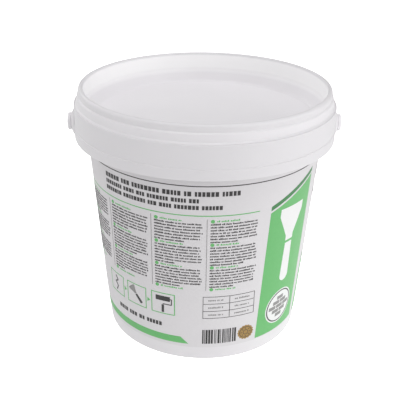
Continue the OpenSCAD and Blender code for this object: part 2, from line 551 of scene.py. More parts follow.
@dataclass
class Tub:
    """The moulded tub: wall, foot, collar, rim, ribs and handle studs. Sizes in millimetres."""

    box: NodeBox
    finish: MouldedPlastic = StandingPlastic(
        "tub_plastic_satin", tint=(0.703, 0.688, 0.708), cloud_tint=(0.678, 0.663, 0.683)
    )
    foot_r: float = 52.1
    foot_w: float = 2.6
    foot_h: float = 2.4
    foot_round: float = 0.4
    floor_z: float = 3.7
    floor_round: float = 3.0
    wall_slope: float = 0.0757
    wall_t: float = 1.0
    collar_h: float = 16.7
    collar_t: float = 0.9
    hem_h: float = 5.4
    hem_step: float = 0.3
    hem_round: float = 0.2
    lip: float = 0.26
    lip_h: float = 1.4
    lip_round: float = 0.5
    lip_edge: float = 0.06
    web_t: float = 1.2
    shoulder_h: float = 2.6
    shoulder_round: float = 1.0
    rim_rise: float = 1.8
    rim_t: float = 1.0
    rim_inset: float = 3.05
    bead: float = 0.3
    bead_h: float = 1.4
    bead_drop: float = 1.2
    edge_round: float = 0.4
    web_round: float = 0.5
    rib_count: int = 24
    rib_t: float = 0.9
    rib_inset: float = 0.8
    stud_drop: float = 1.0
    pad_d: float = 16.4
    pad_face_d: float = 10.6
    pad_h: float = 1.7
    head_d: float = 8.8
    head_t: float = 1.6
    neck_d: float = 8.0
    neck_round: float = 0.28
    stud_round: float = 0.45
    stud_crisp: float = 0.15
    stud_sides: int = 64
    gate_d: float = 3.2
    gate_tip_share: float = 2 / 3
    gate_h: float = 0.5
    gate_sides: int = 32

    def __post_init__(self) -> None:
        """Works out the heights and radii that follow from the frame."""
        self.hem_r = self.box.high.y
        self.rim_top = self.box.high.z
        self.collar_r = self.hem_r - self.hem_step
        self.collar_in_r = self.collar_r - self.collar_t
        self.lip_in_r = self.collar_in_r - self.lip
        self.rim_r = self.hem_r - self.rim_inset
        self.rim_in_r = self.rim_r - self.rim_t
        self.collar_top = self.rim_top - self.rim_rise
        self.collar_z = self.collar_top - self.collar_h
        self.web_top = self.collar_z + self.hem_h
        self.web_z = self.web_top - self.web_t
        self.shoulder_z = self.web_z - self.shoulder_h
        self.bead_z = self.collar_top - self.bead_drop

    def wall_r(self, z: float) -> float:
        """Outside radius of the wall at a height."""
        return self.foot_r + self.wall_slope * z

    def bore_r(self, z: float) -> float:
        """Inside radius of the wall at a height."""
        return self.wall_r(z) - self.wall_t

    def build(self) -> bpy.types.Object:
        """Makes the whole moulding as one piece.

        Returns:
            The piece.
        """
        mesh = self.shell()
        self.add_ribs(mesh)
        self.add_studs(mesh)
        self.add_gate(mesh)
        return make_piece("tub_moulding", mesh, self.finish, Body.TUB, "tub")

    def shell(self) -> Mesh:
        """Wall, floor, collar and rim in one turn.

        Returns:
            The turned mesh, in metres.
        """
        edge = self.edge_round
        web = self.web_round
        return Lathe([
            (0, self.foot_h, 0),
            (self.foot_r - self.foot_w, self.foot_h, web),
            (self.foot_r - self.foot_w, 0, edge),
            (self.foot_r, 0, self.foot_round),
            (self.wall_r(self.shoulder_z), self.shoulder_z, self.shoulder_round),
            (self.rim_r, self.web_z, web),
            (self.collar_in_r, self.web_z, web),
            (self.collar_in_r, self.collar_z, edge),
            (self.hem_r, self.collar_z, self.hem_round),
            (self.hem_r, self.web_top - self.hem_step, self.hem_step / 2),
            (self.collar_r, self.web_top, self.hem_step / 2),
            (self.collar_r, self.collar_top, self.lip_round),
            (self.lip_in_r, self.collar_top, self.lip_edge),
            (self.lip_in_r, self.collar_top - self.lip_h, edge),
            (self.collar_in_r, self.collar_top - self.lip_h - self.lip, edge / 2),
            (self.collar_in_r, self.web_top, web),
            (self.rim_r, self.web_top, web),
            (self.rim_r, self.bead_z - self.bead_h / 2, 0),
            (self.rim_r + self.bead, self.bead_z, edge),
            (self.rim_r, self.bead_z + self.bead_h / 2, 0),
            (self.rim_r, self.rim_top, edge),
            (self.rim_in_r, self.rim_top, edge),
            (self.rim_in_r, self.web_z + edge, self.shoulder_round),
            (self.bore_r(self.shoulder_z), self.shoulder_z + edge, self.shoulder_round),
            (self.bore_r(self.floor_z), self.floor_z, self.floor_round),
            (0, self.floor_z, 0),
        ]).turn()

    def add_ribs(self, mesh: Mesh) -> None:
        """Stiffening ribs between the wall and the collar, under the web.

        Args:
            mesh: the tub's mesh, which grows.
        """
        low = self.collar_z + self.rib_inset
        outer = self.collar_in_r + self.collar_t / 2
        high = self.web_z + self.web_t / 2
        outline = [
            (self.wall_r(low) - self.wall_t / 2, low),
            (outer, low),
            (outer, high),
            (self.rim_r - self.rim_t / 2, high),
            (self.wall_r(self.shoulder_z) - self.wall_t / 2, self.shoulder_z),
        ]
        half = Vector((0.0, self.rib_t / 2 * MM, 0.0))
        verts = [mesh.verts.new(Vector((r * MM, 0.0, z * MM)) - half) for r, z in outline]
        sheet = mesh.faces.new(verts)
        grown = bmesh.ops.extrude_face_region(mesh, geom=[sheet])["geom"]
        moved = [part for part in grown if isinstance(part, bmesh.types.BMVert)]
        bmesh.ops.translate(mesh, verts=moved, vec=half * 2)
        faces = {sheet, *(face for vert in moved for face in vert.link_faces)}
        bmesh.ops.recalc_face_normals(mesh, faces=list(faces))
        rib = [*faces, *{e for f in faces for e in f.edges}, *{v for f in faces for v in f.verts}]
        steps = self.rib_count - 1
        bmesh.ops.spin(
            mesh, geom=rib, cent=(0, 0, 0), axis=(0, 0, 1),
            angle=math.tau * steps / self.rib_count, steps=steps, use_duplicate=True,
        )

    def add_studs(self, mesh: Mesh) -> None:
        """Two headed handle studs on tapered round pads, each turned on its own axis.

        Args:
            mesh: the tub's mesh, which grows.
        """
        root_x = self.collar_r - self.collar_t / 2
        pad_x = self.collar_r + self.pad_h
        stud_x = self.box.high.x
        head_x = stud_x - self.head_t
        crisp = self.stud_crisp
        for side in (1, -1):
            stud = Lathe([
                (0, root_x, 0),
                (self.pad_d / 2, root_x, crisp),
                (self.pad_d / 2, self.collar_r, crisp),
                (self.pad_face_d / 2, pad_x, self.stud_round),
                (self.neck_d / 2, pad_x, self.neck_round),
                (self.neck_d / 2, head_x, self.neck_round),
                (self.head_d / 2, head_x, crisp),
                (self.head_d / 2, stud_x, self.stud_round),
                (0, stud_x, 0),
            ], steps=self.stud_sides).turn()
            place = Matrix.Translation((0.0, 0.0, (self.web_top - self.stud_drop) * MM))
            turned = place @ Matrix.Rotation(side * math.pi / 2, 4, "Y")
            bmesh.ops.transform(stud, matrix=turned, verts=stud.verts)
            join(mesh, stud)

    def add_gate(self, mesh: Mesh) -> None:
        """The small mark that moulding leaves in the middle of the floor's underside.

        Args:
            mesh: the tub's mesh, which grows.
        """
        place = Matrix.Translation((0, 0, self.foot_h * MM))
        radius = self.gate_d / 2 * MM
        bmesh.ops.create_cone(
            mesh, cap_ends=True, segments=self.gate_sides, radius1=radius * self.gate_tip_share,
            radius2=radius, depth=self.gate_h * 2 * MM, matrix=place,
        )


@dataclass
class Lid:
    """The moulded lid: top band, shoulder, skirt, plug and recessed panel. Sizes in millimetres."""

    box: NodeBox
    tub: Tub
    finish: MouldedPlastic = LidPlastic(
        "lid_plastic_satin", tint=(0.757, 0.74, 0.762), cloud_tint=(0.732, 0.715, 0.737)
    )
    thick: float = 0.95
    lean: float = 1.4
    band_h: float = 3.5
    ledge: float = 0.7
    ledge_round: float = 0.2
    recess_h: float = 16.2
    recess_wall_h: float = 9.6
    recess_run: float = 3.6
    plug_gap: float = 0.3
    top_round: float = 0.8
    rim_round: float = 1.5
    recess_round: float = 2.4
    edge_round: float = 0.4
    bead_gap: float = 0.1
    flange: float = 0.75
    flange_h: float = 0.75
    flange_gap: float = 0.02
    flange_round: float = 0.08

    def build(self) -> bpy.types.Object:
        """Makes the lid in one turn.

        Returns:
            The piece.
        """
        tub = self.tub
        edge = self.edge_round
        top = self.box.high.z
        seat = self.box.low.z
        skirt_r = self.box.high.x
        skirt_in_r = skirt_r - self.thick
        top_r = skirt_r - self.lean
        plug_r = tub.rim_in_r - self.plug_gap
        plug_in_r = plug_r - self.thick
        crown = top - self.thick
        band_z = top - self.band_h
        panel_z = top - self.recess_h
        cone_z = top - self.recess_wall_h
        panel_r = plug_in_r - self.recess_run
        cone = math.atan2(self.recess_run, cone_z - panel_z)
        bead_z = tub.bead_z - tub.bead_h
        bead_r = tub.rim_r + tub.bead + self.bead_gap
        half_bead = tub.bead_h / 2
        inside = self.thick / 2
        bend = Vector((skirt_r, tub.bead_z + half_bead))
        shoulder = Vector((top_r + self.ledge, band_z - self.ledge))
        rest = tub.collar_top + self.flange_gap
        slope_h = shoulder.y - bend.y
        root, crest = (
            bend.lerp(shoulder, (z - bend.y) / slope_h) for z in (rest, rest + self.flange_h)
        )
        mesh = Lathe([
            (0, panel_z - self.thick, 0),
            (
                panel_r + self.thick * math.tan(math.pi / 4 - cone / 2), panel_z - self.thick,
                self.recess_round + self.thick,
            ),
            (plug_r, cone_z - self.thick * math.tan(cone / 2), self.recess_round),
            (plug_r, crown, edge),
            (top_r - self.thick, crown, edge),
            (top_r - self.thick, band_z - inside, edge),
            (top_r - self.thick + self.ledge, band_z - self.ledge - inside, edge),
            (skirt_in_r, tub.bead_z + half_bead, edge),
            (skirt_in_r, bead_z + half_bead, 0),
            (bead_r, bead_z, 0),
            (skirt_in_r, bead_z - half_bead, 0),
            (skirt_in_r, seat, edge),
            (skirt_r, seat, edge),
            (*bend, edge),
            (*root, 0),
            (root.x + self.flange, rest, self.flange_round),
            (*crest, 0),
            (*shoulder, self.ledge_round),
            (top_r, band_z, self.ledge_round),
            (top_r, top, self.rim_round),
            (plug_in_r, top, self.top_round),
            (plug_in_r, cone_z, self.recess_round),
            (panel_r, panel_z, self.recess_round),
            (0, panel_z, 0),
        ]).turn()
        return make_piece("lid_moulding", mesh, self.finish, Body.LID, "lid")


@dataclass
class Paste:
    """The filler: a body that fills the tub, with a swirled top. Sizes in millimetres."""

    box: NodeBox
    tub: Tub
    finish: LightPaste = LightPaste("filler_paste_matt")
    gap: float = 0.15
    fill_drop: float = 0.4
    rings: int = 110
    swirl_turns: float = 4.0
    swirl_depth: float = 2.0
    swirl_power: float = 0.8
    swirl_fade: float = 0.5
    eye_share: float = 1 / 3
    lump_mm: float = 17.0
    lump_depth: float = 0.5
    ragged_mm: float = 4.0
    ragged_depth: float = 0.22
    ragged_slice_mm: float = 5.0
    ragged_falloff: float = 0.8
    ragged_step: float = 2.0
    ragged_octaves: int = 4
    ragged_power: int = 4
    peak_share: float = 0.2
    peak_power: float = 1.6

    def top_z(self, x: float, y: float, reach: float) -> float:
        """Height of the swirled top.

        Args:
            x: place across the tub.
            y: place from front to back.
            reach: radius of the paste at its top.

        Returns:
            The height there.
        """
        share = min(1.0, math.hypot(x, y) / reach)
        turn = math.atan2(y, x)
        wave = (1 - math.cos(math.tau * self.swirl_turns * share - turn)) / 2
        lumps = noise.noise(Vector((x, y, 0.0)) / self.lump_mm) * self.lump_depth
        ragged = self.ragged_depth * noise.fractal(
            Vector((x, y, self.ragged_slice_mm)) / self.ragged_mm,
            self.ragged_falloff, self.ragged_step, self.ragged_octaves,
        )
        fill_z = self.tub.shoulder_z - self.fill_drop
        peak = max(0.0, 1 - share / self.peak_share) ** self.peak_power * (self.box.high.z - fill_z)
        swirl = self.swirl_depth * wave ** self.swirl_power * (1 - self.swirl_fade * share)
        swirl *= min(1.0, share / self.eye_share)
        return fill_z - swirl + lumps * (1 - share) + ragged * (1 - share ** self.ragged_power) + peak

    def build(self) -> bpy.types.Object:
        """Turns the body, then raises the swirl in its top.

        Returns:
            The piece.
        """
        low = self.box.low.z
        fill_z = self.tub.shoulder_z - self.fill_drop
        reach = self.tub.bore_r(fill_z) - self.gap
        mesh = Lathe([
            (0, low, 0),
            (self.tub.bore_r(low) - self.gap, low, self.tub.floor_round),
            (reach, fill_z, 0),
            *((reach * ring / self.rings, fill_z, 0) for ring in range(self.rings - 1, -1, -1)),
        ]).turn()
        for vert in mesh.verts:
            if vert.co.z > (fill_z - MERGE_GAP / MM) * MM:
                vert.co.z = self.top_z(vert.co.x / MM, vert.co.y / MM, reach) * MM
        return make_piece("paste_swirl", mesh, self.finish, Body.TUB, "paste")


class Ink(Enum):
    """Inks on the film, each with its finish and how far it stands above the film in millimetres."""

    GREEN = (PrintedFilm("ink_green", (0.125, 0.445, 0.14), (0.112, 0.41, 0.125)), 0.03)
    DEEP = (PrintedFilm("ink_deep_green", (0.04, 0.2, 0.06), (0.035, 0.18, 0.05)), 0.04)
    WHITE = (PrintedFilm("ink_white", (0.76, 0.76, 0.76), (0.73, 0.73, 0.73)), 0.05)
    GREY = (PrintedFilm("ink_grey", (0.25, 0.245, 0.245), (0.22, 0.215, 0.215)), 0.06)
    GOLD = (
        PrintedFilm("ink_gold", (0.4, 0.255, 0.085), (0.26, 0.155, 0.05), roughness=0.3, metallic=0.5),
        0.065,
    )
    DARK = (PrintedFilm("ink_dark", (0.022, 0.02, 0.021), (0.032, 0.03, 0.031)), 0.075)

    @property
    def finish(self) -> PrintedFilm:
        """The ink's finish."""
        return self.value[0]

    @property
    def lift(self) -> float:
        """How far the ink stands above the film."""
        return self.value[1]


@dataclass
class Film:
    """The film that the label is printed on, wrapped round the wall. Sizes in millimetres."""

    box: NodeBox
    tub: Tub
    finish: PrintedFilm = PrintedFilm("film_white")
    thick: float = 0.14
    glue: float = 0.02
    seam: float = 1.6

    def outer_r(self, z: float) -> float:
        """Radius of the film's printed face at a height."""
        return self.tub.wall_r(z) + self.glue + self.thick

    def build(self) -> bpy.types.Object:
        """Spins the film's section round the wall, from one side of the seam to the other.

        Returns:
            The piece.
        """
        low = self.box.low.z
        high = self.box.high.z
        mesh = bmesh.new()
        section = [
            (self.outer_r(low) - self.thick, low),
            (self.outer_r(low), low),
            (self.outer_r(high), high),
            (self.outer_r(high) - self.thick, high),
        ]
        verts = [mesh.verts.new((0.0, r * MM, z * MM)) for r, z in section]
        for first, second in zip(verts, verts[1:] + verts[:1]):
            mesh.edges.new((first, second))
        half_gap = self.seam / 2 / self.outer_r((low + high) / 2)
        bmesh.ops.rotate(mesh, verts=verts, cent=(0, 0, 0), matrix=Matrix.Rotation(half_gap, 3, "Z"))
        bmesh.ops.spin(
            mesh, geom=mesh.verts[:] + mesh.edges[:], cent=(0, 0, 0), axis=(0, 0, 1),
            angle=math.tau - 2 * half_gap, steps=TURN_STEPS,
        )
        bmesh.ops.holes_fill(mesh, edges=[e for e in mesh.edges if e.is_boundary], sides=len(section))
        bmesh.ops.recalc_face_normals(mesh, faces=mesh.faces)
        return make_piece("label_film", mesh, self.finish, Body.TUB, "label")


@dataclass
class Sheet:
    """A stretch of the film laid flat, in millimetres: x runs to the right round the tub, y is height."""

    name: str
    middle_deg: float
    film: Film
    slice_w: float = 1.6
    slice_h: float = 9.0
    sink: float = 0.02
    group_counts: tuple[int, int] = (2, 8)
    block_shares: tuple[float, float] = (0.42, 0.78)
    height_shares: tuple[float, ...] = (0.74, 0.74, 0.74, 1.0)
    block_gap_share: float = 0.2
    group_gap_share: float = 0.5
    fine: dict[Ink, Mesh] = field(default_factory=dict)
    broad: dict[Ink, Mesh] = field(default_factory=dict)

    def layer(self, ink: Ink, wide: bool = True) -> Mesh:
        """The flat mesh that collects an ink's shapes; wide ones are sliced before they are bent."""
        kept = self.broad if wide else self.fine
        return kept.setdefault(ink, bmesh.new())

    def bar(self, ink: Ink, x: float, y: float, w: float, h: float, turn: float = 0.0) -> None:
        """A plain bar round a middle point, turned by an angle in radians."""
        self.lay(self.layer(ink, max(w, h) > self.slice_w), x, y, w, h, turn)

    def lay(self, mesh: Mesh, x: float, y: float, w: float, h: float, turn: float = 0.0) -> None:
        """Adds a plain bar to a flat mesh.

        Args:
            mesh: the flat mesh, which grows.
            x: its middle across.
            y: its middle in height.
            w: its width.
            h: its height.
            turn: its turn to the left, in radians.
        """
        size = Matrix.Diagonal((w, h, 1.0, 1.0))
        place = Matrix.Translation((x, y, 0.0)) @ Matrix.Rotation(turn, 4, "Z") @ size
        bmesh.ops.create_grid(mesh, x_segments=1, y_segments=1, size=0.5, matrix=place)

    def stroke(self, ink: Ink, start: Point, end: Point, width: float) -> None:
        """A straight stroke from one point to another.

        Args:
            ink: its ink.
            start: where it starts.
            end: where it ends.
            width: its width.
        """
        run = Vector(end) - Vector(start)
        middle = (Vector(start) + Vector(end)) / 2
        self.bar(ink, middle.x, middle.y, run.length, width, math.atan2(run.y, run.x))

    def outline(self, ink: Ink, points: list[Point]) -> None:
        """A filled outline."""
        mesh = self.layer(ink)
        mesh.faces.new([mesh.verts.new((x, y, 0.0)) for x, y in points])

    def disc(self, ink: Ink, x: float, y: float, r: float, sides: int = 48) -> None:
        """A filled circle."""
        place = Matrix.Translation((x, y, 0.0))
        bmesh.ops.create_circle(self.layer(ink), cap_ends=True, segments=sides, radius=r, matrix=place)

    def ring(self, ink: Ink, x: float, y: float, r: float, width: float, sides: int = 48) -> None:
        """A circle's line, inside that radius.

        Args:
            ink: its ink.
            x: its middle across.
            y: its middle in height.
            r: its outer radius.
            width: the line's width.
            sides: how many straight sides it has.
        """
        mesh = self.layer(ink)
        ends = [mesh.verts.new((x + r - inset, y, 0.0)) for inset in (width, 0.0)]
        edge = mesh.edges.new(ends)
        bmesh.ops.spin(
            mesh, geom=[*ends, edge], cent=(x, y, 0), axis=(0, 0, 1), angle=math.tau, steps=sides,
            use_merge=True,
        )

    def box(self, ink: Ink, x: float, y: float, w: float, h: float, line: float) -> None:
        """A rectangle's line, inside that size and round that middle.

        Args:
            ink: its ink.
            x: its middle across.
            y: its middle in height.
            w: its width.
            h: its height.
            line: the line's width.
        """
        for side in (-1, 1):
            self.bar(ink, x, y + side * (h - line) / 2, w, line)
            self.bar(ink, x + side * (w - line) / 2, y, line, h - 2 * line)

    def row(
        self, ink: Ink, left: float, right: float, y: float, cap: float, dice: random.Random,
        even: bool = False,
    ) -> None:
        """A row of small blocks in groups, as long as a line of print.

        Args:
            ink: its ink.
            left: where it starts.
            right: where it ends at the latest.
            y: its foot.
            cap: the blocks' full height.
            dice: source of the blocks' sizes.
            even: whether all blocks have the full height, as in headings.
        """
        line = bmesh.new()
        x = left
        width = 0.0
        while x + width <= right:
            for _ in range(dice.randint(*self.group_counts)):
                width = cap * dice.uniform(*self.block_shares)
                tall = cap if even else cap * dice.choice(self.height_shares)
                if x + width > right:
                    break
                self.lay(line, x + width / 2, y + tall / 2, width, tall)
                x += width + cap * self.block_gap_share
            else:
                x += cap * self.group_gap_share
        join(self.layer(ink, cap > self.slice_w), line)

    def press(self) -> list[bpy.types.Object]:
        """Bends every ink's shapes round the film and makes them pieces.

        Returns:
            The pieces.
        """
        pieces = []
        for ink in Ink:
            if ink in self.fine or ink in self.broad:
                mesh = self.layer(ink)
                self.cut_up(mesh)
                join(mesh, self.layer(ink, wide=False))
                self.thicken(mesh, ink.lift)
                self.bend(mesh)
                name = f"print_{self.name}_{ink.name.lower()}"
                pieces.append(make_piece(name, mesh, ink.finish, Body.TUB))
        return pieces

    def cut_up(self, mesh: Mesh) -> None:
        """Cuts flat shapes into strips that can follow the wall.

        Args:
            mesh: the flat mesh, which is changed.
        """
        for axis, step in ((0, self.slice_w), (1, self.slice_h)):
            reach = [v.co[axis] for v in mesh.verts] or [0.0]
            normal = Vector((axis == 0, axis == 1, 0.0))
            for index in range(math.ceil(min(reach) / step), math.ceil(max(reach) / step)):
                bmesh.ops.bisect_plane(
                    mesh, geom=mesh.verts[:] + mesh.edges[:] + mesh.faces[:],
                    plane_co=normal * index * step, plane_no=normal,
                )

    def thicken(self, mesh: Mesh, lift: float) -> None:
        """Gives flat shapes a thin body from just inside the film to the ink's own height.

        Args:
            mesh: the flat mesh, which is changed.
            lift: the ink's height above the film.
        """
        bmesh.ops.translate(mesh, verts=mesh.verts, vec=(0.0, 0.0, -self.sink))
        grown = bmesh.ops.extrude_face_region(mesh, geom=mesh.faces[:])["geom"]
        raised = [part for part in grown if isinstance(part, bmesh.types.BMVert)]
        bmesh.ops.translate(mesh, verts=raised, vec=(0.0, 0.0, self.sink + lift))

    def bend(self, mesh: Mesh) -> None:
        """Moves flat shapes onto the wall's cone.

        Args:
            mesh: the flat mesh, which is changed.
        """
        middle = math.radians(self.middle_deg)
        for vert in mesh.verts:
            x, y, lift = vert.co
            r = self.film.outer_r(y)
            turn = middle + x / r
            vert.co = Vector(((r + lift) * math.sin(turn), -(r + lift) * math.cos(turn), y)) * MM
        bmesh.ops.recalc_face_normals(mesh, faces=mesh.faces)


@dataclass(frozen=True)
class Knife:
    """A filling knife seen flat, with its blade up. Its shares are of its length, or as a comment says."""

    length: float
    blade_share: float = 0.44
    edge_share: float = 0.4
    tang_share: float = 0.13
    grip_share: float = 0.15
    # Of half the blade's edge, of half the tang and of the grip's radius
    cheek_share: float = 0.5
    gap_share: float = 0.5
    neck_share: float = 0.8
    butt_steps: int = 12

    def draw(self, sheet: Sheet, blade: Ink, grip: Ink, x: float, y: float, turn: float = 0.0) -> None:
        """Draws the knife.

        Args:
            sheet: the sheet that it is drawn on.
            blade: the blade's ink.
            grip: the grip's ink.
            x: its middle across.
            y: its middle in height.
            turn: its lean to the left, in radians.
        """
        half = self.length / 2
        blade_low = half - self.length * self.blade_share
        grip_r = self.length * self.grip_share / 2
        edge = self.length * self.edge_share / 2
        tang = self.length * self.tang_share / 2
        spin = Matrix.Rotation(turn, 2)

        def at(across: float, along: float) -> Point:
            """A point of the knife on the sheet."""
            moved = spin @ Vector((across, along))
            return (x + moved.x, y + moved.y)

        cheek = half - edge * self.cheek_share
        sheet.outline(blade, [
            at(-tang, blade_low), at(tang, blade_low), at(tang, blade_low + tang),
            at(edge, cheek), at(edge, half), at(-edge, half), at(-edge, cheek),
            at(-tang, blade_low + tang),
        ])
        butt = [math.pi * (1 + step / self.butt_steps) for step in range(self.butt_steps + 1)]
        grip_top = blade_low - tang * self.gap_share
        neck = grip_r * self.neck_share
        sheet.outline(grip, [
            *(at(grip_r * math.cos(a), -half + grip_r + grip_r * math.sin(a)) for a in butt),
            at(neck, grip_top), at(-neck, grip_top),
        ])


@dataclass(frozen=True)
class Bricks:
    """A round piece of brick wall. Sizes in millimetres."""

    r: float
    brick_w: float = 6.0
    brick_h: float = 2.6
    joint: float = 0.5
    bond_share: float = 0.5

    def draw(self, sheet: Sheet, ink: Ink, x: float, y: float) -> None:
        """Draws the bricks whose corners all lie inside the circle.

        Args:
            sheet: the sheet that it is drawn on.
            ink: its ink.
            x: its middle across.
            y: its middle in height.
        """
        rows = int(self.r / (self.brick_h + self.joint)) + 1
        columns = int(self.r / (self.brick_w + self.joint)) + 1
        for row in range(-rows, rows + 1):
            up = row * (self.brick_h + self.joint)
            for column in range(-columns, columns + 1):
                across = (column + self.bond_share * (row % 2)) * (self.brick_w + self.joint)
                corner = math.hypot(abs(across) + self.brick_w / 2, abs(up) + self.brick_h / 2)
                if corner < self.r:
                    sheet.bar(ink, x + across, y + up, self.brick_w, self.brick_h)


@dataclass(frozen=True)
class WallDisc:
    """A white disc with a dark ring and a piece of brick wall in it. Sizes in millimetres."""

    x: float
    y: float
    r: float
    line: float
    bricks: Bricks
    sides: int = 48

    def draw(self, sheet: Sheet) -> None:
        """Draws the disc, its ring and the wall.

        Args:
            sheet: the sheet that it is drawn on.
        """
        sheet.disc(Ink.WHITE, self.x, self.y, self.r, self.sides)
        sheet.ring(Ink.DARK, self.x, self.y, self.r - self.line, self.line, self.sides)
        self.bricks.draw(sheet, Ink.GREY, self.x, self.y)


@dataclass(frozen=True)
class SlantedField:
    """A green field with a slanted top and a deep green stripe along it. Sizes in millimetres."""

    half_w: float
    low: float
    left_top: float
    right_top: float
    stripe: float = 2.4
    stripe_gap: float = 1.2

    def draw(self, sheet: Sheet) -> None:
        """Draws the field and its stripe.

        Args:
            sheet: the sheet that it is drawn on.
        """
        w = self.half_w
        sheet.outline(Ink.GREEN, [(-w, self.low), (w, self.low), (w, self.right_top), (-w, self.left_top)])
        base = self.stripe_gap
        top = self.stripe_gap + self.stripe
        sheet.outline(Ink.DEEP, [
            (-w, self.left_top + base), (w, self.right_top + base),
            (w, self.right_top + top), (-w, self.left_top + top),
        ])


@dataclass(frozen=True)
class Headings:
    """Bold rows of print, ranged left, one below the other. Sizes in millimetres."""

    left: float
    y: float
    pitch: float
    caps: tuple[float, ...]
    lengths: tuple[float, ...]

    def draw(self, sheet: Sheet, dice: random.Random) -> None:
        """Draws the rows from the top down.

        Args:
            sheet: the sheet that it is drawn on.
            dice: source of the sizes that vary.
        """
        for index, (cap, length) in enumerate(zip(self.caps, self.lengths)):
            y = self.y - index * self.pitch
            sheet.row(Ink.DARK, self.left, self.left + length, y, cap, dice, even=True)


@dataclass(frozen=True)
class SmallPrint:
    """A column of small print in paragraphs, each with a green opening. Sizes in millimetres."""

    left: float
    right: float
    top: float
    low: float
    cap: float = 0.85
    pitch: float = 1.62
    paragraph_lines: int = 7
    # Of the pitch
    mark_share: float = 0.6
    indent_share: float = 1.8
    # Of the small print's height
    opening_cap_share: float = 1.15
    # Of the column's width
    opening_share: float = 0.6
    last_line_shares: tuple[float, float] = (0.3, 0.75)
    full_line_shares: tuple[float, float] = (0.93, 1.0)

    def draw(self, sheet: Sheet, dice: random.Random) -> None:
        """Draws the column from the top down.

        Args:
            sheet: the sheet that it is drawn on.
            dice: source of the sizes that vary.
        """
        width = self.right - self.left
        for line in range(int((self.top - self.low) / self.pitch)):
            y = self.top - (line + 1) * self.pitch
            place = line % (self.paragraph_lines + 1)
            if place == 0:
                self.draw_opening(sheet, y, dice)
            else:
                last = place == self.paragraph_lines
                share = dice.uniform(*(self.last_line_shares if last else self.full_line_shares))
                sheet.row(Ink.DARK, self.left, self.left + width * share, y, self.cap, dice)

    def draw_opening(self, sheet: Sheet, y: float, dice: random.Random) -> None:
        """Draws a green mark and a short green row, which open a paragraph.

        Args:
            sheet: the sheet that it is drawn on.
            y: the row's foot.
            dice: source of the sizes that vary.
        """
        mark_r = self.pitch * self.mark_share
        start = self.left + self.pitch * self.indent_share
        end = self.left + (self.right - self.left) * self.opening_share
        sheet.disc(Ink.GREEN, self.left + mark_r, y + self.cap / 2, mark_r)
        sheet.row(Ink.GREEN, start, end, y, self.cap * self.opening_cap_share, dice)


@dataclass(frozen=True)
class PrintColumns:
    """Columns of small print, with thin rules between them if the rule has a width. Sizes in millimetres."""

    left: float
    right: float
    top: float
    low: float
    count: int
    gap: float = 3.4
    rule: float = 0.0

    def draw(self, sheet: Sheet, dice: random.Random) -> None:
        """Draws the columns from left to right.

        Args:
            sheet: the sheet that it is drawn on.
            dice: source of the sizes that vary.
        """
        pitch = (self.right - self.left + self.gap) / self.count
        height = self.top - self.low
        for column in range(self.count):
            left = self.left + column * pitch
            SmallPrint(left, left + pitch - self.gap, self.top, self.low).draw(sheet, dice)
            if column and self.rule:
                sheet.bar(Ink.GREY, left - self.gap / 2, self.top - height / 2, self.rule, height)


@dataclass(frozen=True)
class Table:
    """A ruled table of three rows in two columns. Sizes in millimetres."""

    x: float
    y: float
    w: float
    h: float
    rule: float = 0.25
    cap: float = 1.0
    inset_share: float = 0.1

    def draw(self, sheet: Sheet, dice: random.Random) -> None:
        """Draws the rules and a short row of print in each cell.

        Args:
            sheet: the sheet that it is drawn on.
            dice: source of the sizes that vary.
        """
        rows = (-1, 0, 1)
        row_h = self.h / len(rows)
        sheet.box(Ink.DARK, self.x, self.y, self.w, self.h, self.rule)
        for side in (-1, 1):
            sheet.bar(Ink.DARK, self.x, self.y + side * row_h / 2, self.w - 2 * self.rule, self.rule)
        inset = self.w * self.inset_share
        for row in rows:
            foot = self.y + row * row_h - self.cap / 2
            sheet.bar(Ink.DARK, self.x, self.y + row * row_h, self.rule, row_h - 2 * self.rule)
            sheet.row(Ink.GREY, self.x - self.w / 2 + inset, self.x - inset, foot, self.cap, dice)
            sheet.row(Ink.GREY, self.x + inset, self.x + self.w / 2 - inset, foot, self.cap, dice)


